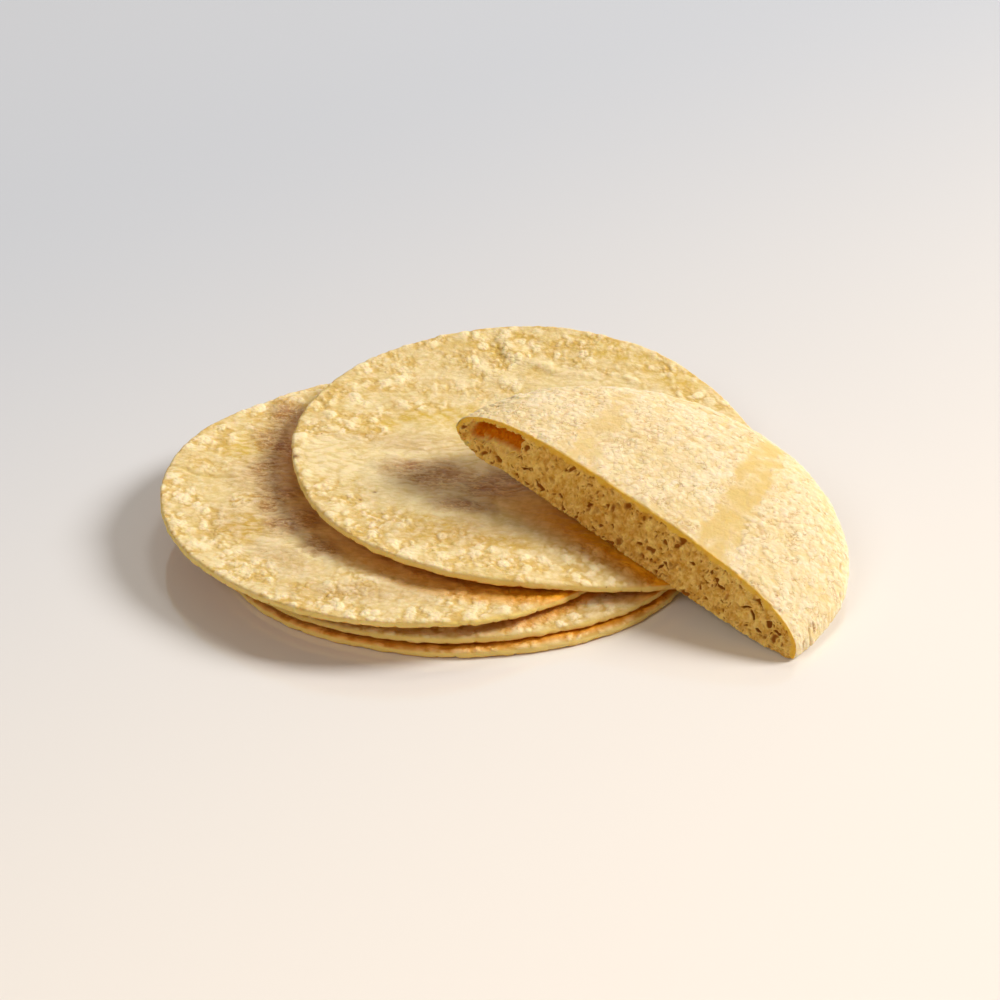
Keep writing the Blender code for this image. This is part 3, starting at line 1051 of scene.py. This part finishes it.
def tortilla_material():
    n = Nodes("tortilla_bread")
    bumpy, blister, fold, golden = map(n.value, ("bumpy", "blister", "fold", "golden"))
    wet, rim, stain, near = map(n.value, ("wet", "rim", "stain", "painted_shade"))
    mottle = n.noise(3, 4, 0.6)
    knob = n.times(blister, n.lumps(1.5))
    toasted_shaded_hollow = n.minus(blister, n.plus(n.times(knob, 0.5), bumpy))
    base = n.layered(STRAW, (n.noise(20), 0.38, 0.62, 0.5, GOLD))
    base = n.mix(n.times(golden, n.ranged(mottle, 0.3, 0.6, 0.9, 0.55)), base, YOLK)
    # Paler blister tops, crests and ridges, golden hollows and grooves: partly the dough's own
    # toasting, partly painted light and shade.
    base = n.layered(
        base,
        (mottle, 0.45, 0.68, 0.45, CREAM),
        (toasted_shaded_hollow, 0, 0.6, 0.8, TOASTED_SHADED_HOLLOW),
        (bumpy, 0.15, 0.7, 0.8, CREAM),
        (fold, 0, 0.35, 0.4, CREAM),
        (fold, 0, -0.45, 0.45, GOLD),
    )
    # Wet and dull places turn brown: partly a glossy film, partly painted shade where pieces above
    # cast shadow.
    base = n.mix(n.times(wet, n.ranged(fold, -0.3, 0.4, 0.95, 0.7)), base, BROWN)
    # Painted highlight: thin pale streaks over the wet places stand in for glints on wet wrinkles.
    painted_glints = n.times(n.cracks(1.8, 0.055, (0.5, 1, 1)), n.ranged(wet, 0.3, 0.9, 0, 0.45))
    base = n.mix(painted_glints, base, PAINTED_GLINT)
    base = n.mix(n.times(rim, 0.7), base, RIM_YELLOW)
    # Painted shade: dough near a piece above, and undersides, are multiplied towards amber, less on
    # the rim.
    painted_shade_share = n.times(n.ranged(near, 0.1, 0.8), n.ranged(rim, 0.3, 0.9, 1, 0.25))
    base = n.mix(painted_shade_share, base, SHADE_TINT, "MULTIPLY")
    base = n.mix(n.marks(n.place, 6, 0.06, (0.75, 0.8)), base, BROWN)
    base = n.mix(stain, base, RUST)
    dull = n.plus(n.ranged(mottle, 0.3, 0.7, 0.62, 0.5), n.times(wet, -0.48))
    grain = n.bump(n.noise(0.6, 2), 0.07, 0.8)
    uneven = n.plus(n.ranged(n.noise(9, 2), 0.4, 0.6, 0.35, 1), n.times(wet, 3.4))
    crinkle = n.times(n.noise(1.5, 3, scale=(0.55, 1, 1)), uneven)
    relief = n.bump(knob, 0.16, 1, n.bump(crinkle, 0.34, 1, grain))
    return n.shade({
        "Base Color": base,
        "Roughness": n.plus(dull, n.times(golden, -0.08)),
        "Specular IOR Level": TORTILLA_SPECULAR,
        "Normal": relief,
        "Coat Weight": n.plus(n.times(wet, 0.35), n.times(golden, 0.15)),
        "Coat Roughness": TORTILLA_COAT_ROUGHNESS,
        "Coat Normal": relief,
        **dough_depth(0.65, 0.8),
    })


def bread_material():
    n = Nodes("flatbread_bread")
    bumpy, band, floury, crease = map(n.value, ("bumpy", "band", "floury", "crease"))
    pit, wet, cut = map(n.value, ("pit", "wet", "cut"))
    mottle = n.noise(2.4, 4, 0.6)
    plain = n.ranged(band, 0.1, 0.6, 1, 0)
    crust = n.layered(CRUST, (mottle, 0.38, 0.64, 0.6, FLOUR))
    crust = n.mix(n.times(floury, 0.5), crust, FLOUR)
    crust = n.mix(n.times(band, 0.75), crust, BAND)
    crust = n.layered(crust, (bumpy, 0.35, 0.9, 0.7, FLOUR), (bumpy, 0.2, 0, 0.35, BAND))
    slit = n.marks(n.squeezed(n.drifted(2, 1.5), 40, 5), 5, 0.2, (0.86, 0.9))
    crust = n.mix(n.times(slit, n.ranged(band, 0.2, 0.7, 1, 0.2)), crust, CRACK)
    crust = n.mix(n.times(crease, 0.5), crust, CRACK)
    broken = n.ranged(n.noise(4, 2), 0.5, 0.6)
    thread = n.times(n.cracks(2.4, 0.03), n.times(broken, plain))
    crust = n.mix(n.times(thread, 0.4), crust, CRACK)
    scales = n.times(n.lumps(2), plain)
    crust = n.layered(crust, (scales, 0.3, 0, 0.25, BAND), (pit, 0.05, 0.4, 0.7, CRACK))
    dull = n.plus(n.ranged(mottle, 0.3, 0.7, 0.72, 0.56), n.times(wet, -0.35))
    dull = n.plus(dull, n.times(band, -0.1))
    grain = n.bump(n.noise(0.6, 2), 0.08, 0.8)
    on_crown = n.times(n.minus(scales, n.times(thread, 0.6)), n.minus(1, cut))
    crumbly = n.times(n.noise(1.5, 3), n.plus(1, cut))
    relief = n.bump(on_crown, 0.16, 1, n.bump(crumbly, 0.3, 1, grain))
    return n.shade({
        "Base Color": n.mix(cut, crust, crumb_colour(n, mottle)),
        "Roughness": n.plus(dull, n.times(cut, 0.25)),
        "Specular IOR Level": BREAD_SPECULAR,
        "Normal": relief,
        "Coat Weight": n.times(wet, 0.5),
        "Coat Roughness": BREAD_COAT_ROUGHNESS,
        "Coat Normal": relief,
        **dough_depth(0.7, 0.7),
    })


def crumb_colour(n, mottle):
    """The colour of the cut face: pale crumb, darker hollows, painted shade in the pores and the
    pocket, and the skin's edge.
    """
    crumb, pore_shade, skin, pocket = map(n.value, ("crumb", "pore_shade", "skin", "pocket"))
    # Painted shade: pores darken to brown the deeper they are, and the air pocket turns deep orange
    # where it is deepest, painted shade and glow.
    base = n.layered(
        CRUMB,
        (mottle, 0.35, 0.65, 1, CRUMB_PALE),
        (crumb, 0.1, -0.5, 0.7, CRUMB_PALE),
        (crumb, 0.2, 0.8, 0.5, CRUMB_DEEP),
        (pore_shade, 0.05, 0.45, 0.95, PORE_SHADE),
    )
    base = n.mix(n.times(skin, 0.8), base, SKIN_YELLOW)
    return n.layered(
        base,
        (pocket, 0.02, 0.2, 0.8, CRUMB_PALE),
        (pocket, 0.22, 0.6, 1, POCKET_SHADE_ORANGE),
    )


# ---- studio


FLOOR_COOL = colour(197, 205, 218)
FLOOR_WARM = colour(246, 241, 236)
FLOOR_FADE = (-0.42, 0.3)  # where the floor's colour starts and ends its change, in metres
FLOOR_REACH = 3.0
LAMP_WHITE = (1.0, 0.97, 0.93)
# Each lamp: its place and its width in mm, its power in watts and its colour.
LAMPS = {
    "key": ((2960, 800, 2080), 1500, 160, LAMP_WHITE),
    "glint": ((600, 2200, 2900), 800, 18, LAMP_WHITE),
    "bounce": ((-300, -2800, 420), 1600, 9, (1.0, 0.84, 0.46)),
    "fill": ((-1850, -1950, 2400), 1800, 28, (1.0, 0.94, 0.86)),
    "card": ((0, 3500, 1950), 3600, 15, (1.0, 0.97, 0.94)),
}
ROOM_TINT = (1.0, 0.78, 0.55, 1.0)
ROOM_LIGHT = 0.21


def floor_material():
    """A glossy pale floor with painted light: darker and cooler at the far left, lighter and warmer
    at the near right.
    """
    n = Nodes("pale_floor")
    split = n.add("SeparateXYZ", {0: n.place})
    lean = n.minus(n.times(split["X"], 0.8), split["Y"])
    share = n.ranged(lean, *FLOOR_FADE, interpolation_type="SMOOTHSTEP")
    return n.shade({
        "Base Color": n.mix(share, FLOOR_COOL, FLOOR_WARM),
        "Roughness": 0.09,
        "IOR": 1.7,
    })


def make_floor():
    mesh = bpy.data.meshes.new("floor")
    signs = ((-1, -1), (1, -1), (1, 1), (-1, 1))
    mesh.from_pydata([(x * FLOOR_REACH, y * FLOOR_REACH, 0) for x, y in signs], [], [(0, 1, 2, 3)])
    mesh.materials.append(floor_material())
    placed("floor", mesh)


def aimed(obj, place, target):
    """Puts a lamp or the camera at a place, in mm, and turns it to its target."""
    obj.location = Vector(place) * MM
    way = (Vector(target) - Vector(place)).normalized()
    obj.rotation_euler = way.to_track_quat("-Z", "Y").to_euler()


def make_studio():
    for name, (place, size, power, tint) in LAMPS.items():
        lamp = bpy.data.lights.new(name, "AREA")
        lamp.shape = "DISK"
        lamp.size = size * MM
        lamp.energy = power
        lamp.color = tint
        aimed(placed(name, lamp), place, (0, 0, 0))
    world = bpy.data.worlds.new("studio")
    world.use_nodes = True
    background = world.node_tree.nodes["Background"]
    background.inputs["Color"].default_value = ROOM_TINT
    background.inputs["Strength"].default_value = ROOM_LIGHT
    bpy.context.scene.world = world
    bpy.context.scene.view_settings.view_transform = "Standard"


def make_camera():
    data = bpy.data.cameras.new("camera")
    data.lens = CAMERA_LENS
    camera = placed("camera", data)
    rise = math.radians(CAMERA_ELEVATION)
    x, y, z = CAMERA_TARGET
    place = (x, y - CAMERA_DISTANCE * math.cos(rise), z + CAMERA_DISTANCE * math.sin(rise))
    aimed(camera, place, CAMERA_TARGET)
    bpy.context.scene.camera = camera


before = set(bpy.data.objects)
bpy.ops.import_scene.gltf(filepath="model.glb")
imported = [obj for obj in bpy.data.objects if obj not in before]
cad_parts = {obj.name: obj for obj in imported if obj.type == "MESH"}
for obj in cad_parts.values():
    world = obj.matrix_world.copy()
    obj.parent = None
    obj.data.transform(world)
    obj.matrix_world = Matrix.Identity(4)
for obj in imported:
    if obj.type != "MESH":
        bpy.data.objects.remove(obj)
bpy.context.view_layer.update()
make_camera()
make_studio()
make_floor()
names = [spec["name"] for spec in TORTILLAS]
dough = tortilla_material()
for order, tortilla in enumerate(TORTILLAS):
    make_tortilla(tortilla, order, dough, names[order + 1 :] + ["flatbread_half"], names[:order])
make_bread(bread_material())
